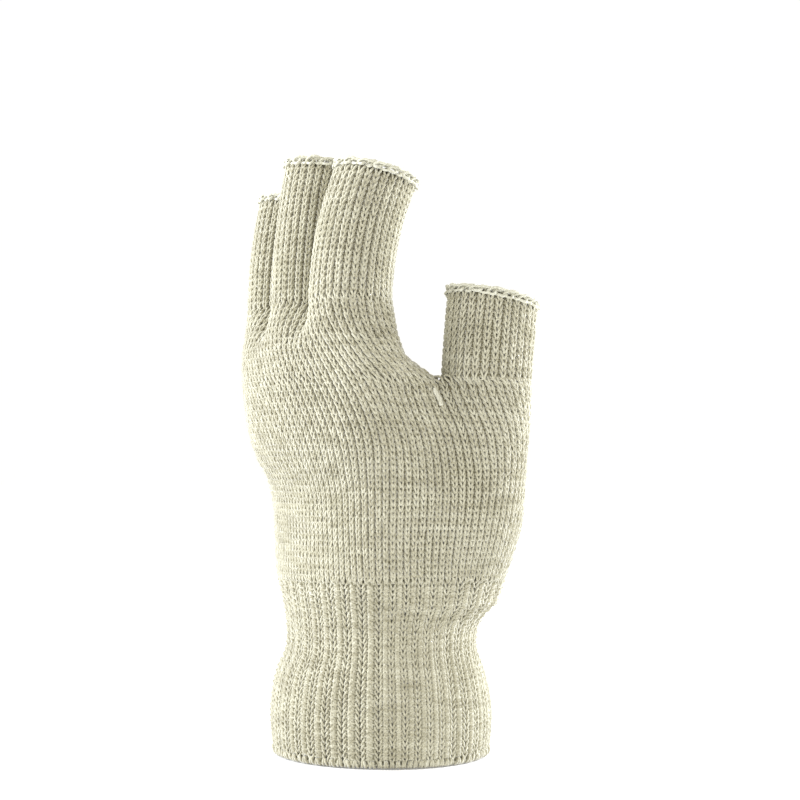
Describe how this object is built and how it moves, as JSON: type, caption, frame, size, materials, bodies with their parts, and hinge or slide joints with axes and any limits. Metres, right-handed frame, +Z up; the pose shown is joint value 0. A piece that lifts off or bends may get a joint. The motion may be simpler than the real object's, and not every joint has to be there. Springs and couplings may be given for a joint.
{
  "type": "fingerless glove",
  "caption": "Fine-knit fingerless glove for the left hand: ribbed cuff, stockinette palm, short open stalls for the fingers and thumb, shaped as worn and standing on its cuff.",
  "frame": {"origin": "middle of the glove's box, on the plane of the cuff's mouth", "axes": "+Z up the hand to the fingertips, +X out of the palm, -Y to the thumb's side"},
  "size_m": [0.0656, 0.0936, 0.1543],
  "materials": {
    "stockinette": "fine plain knit in heather yarn",
    "rib_knit": "fine one-and-one rib in heather yarn",
    "edging": "overcast yarn loops",
    "darning": "close hand stitches in the same yarn",
    "elastic": "covered elastic thread"
  },
  "bodies": {
    "cuff": {"cuff_rib": "rib_knit", "cuff_hem": "rib_knit", "elastic_thread_1": "elastic", "elastic_thread_2": "elastic", "elastic_thread_3": "elastic", "elastic_thread_4": "elastic"},
    "hand": {"wrist_rib": "rib_knit", "palm_lower": "stockinette", "palm_upper": "stockinette", "stall_root_index": "stockinette", "stall_root_middle": "stockinette", "stall_root_ring": "stockinette", "stall_root_little": "stockinette", "stall_root_thumb": "stockinette", "darn_index_middle": "darning", "darn_middle_ring": "darning", "darn_ring_little": "darning", "darn_thumb": "darning", "yarn_tail": "darning"},
    "index": {"stall_index": "stockinette", "binding_index": "edging"},
    "middle": {"stall_middle": "stockinette", "binding_middle": "edging"},
    "ring": {"stall_ring": "stockinette", "binding_ring": "edging"},
    "little": {"stall_little": "stockinette", "binding_little": "edging"},
    "thumb": {"stall_thumb": "stockinette", "binding_thumb": "edging"}
  },
  "joints": [
    {"name": "wrist_bend", "type": "hinge", "parent": "cuff", "child": "hand", "pos_m": [0.0034, 0.005, 0.035], "axis": [0, 1, 0], "range_deg": [-35, 35], "stiffness_Nm_per_rad": 0.15, "deforming": ["wrist_rib"]},
    {"name": "index_bend", "type": "hinge", "parent": "hand", "child": "index", "pos_m": [-0.014, -0.0253, 0.121], "axis": [0, 1, 0], "range_deg": [-10, 60], "stiffness_Nm_per_rad": 0.01, "deforming": ["stall_root_index"]},
    {"name": "middle_bend", "type": "hinge", "parent": "hand", "child": "middle", "pos_m": [-0.0154, -0.0043, 0.121], "axis": [0, 1, 0], "range_deg": [-10, 60], "stiffness_Nm_per_rad": 0.01, "deforming": ["stall_root_middle"]},
    {"name": "ring_bend", "type": "hinge", "parent": "hand", "child": "ring", "pos_m": [-0.0138, 0.0167, 0.121], "axis": [0, 1, 0], "range_deg": [-10, 60], "stiffness_Nm_per_rad": 0.01, "deforming": ["stall_root_ring"]},
    {"name": "little_bend", "type": "hinge", "parent": "hand", "child": "little", "pos_m": [-0.0048, 0.0372, 0.121], "axis": [0, 1, 0], "range_deg": [-10, 60], "stiffness_Nm_per_rad": 0.01, "deforming": ["stall_root_little"]},
    {"name": "thumb_bend", "type": "hinge", "parent": "hand", "child": "thumb", "pos_m": [0.015, -0.0326, 0.101], "axis": [0, 1, 0], "range_deg": [-12, 25], "stiffness_Nm_per_rad": 0.01, "deforming": ["stall_root_thumb"]}
  ]
}
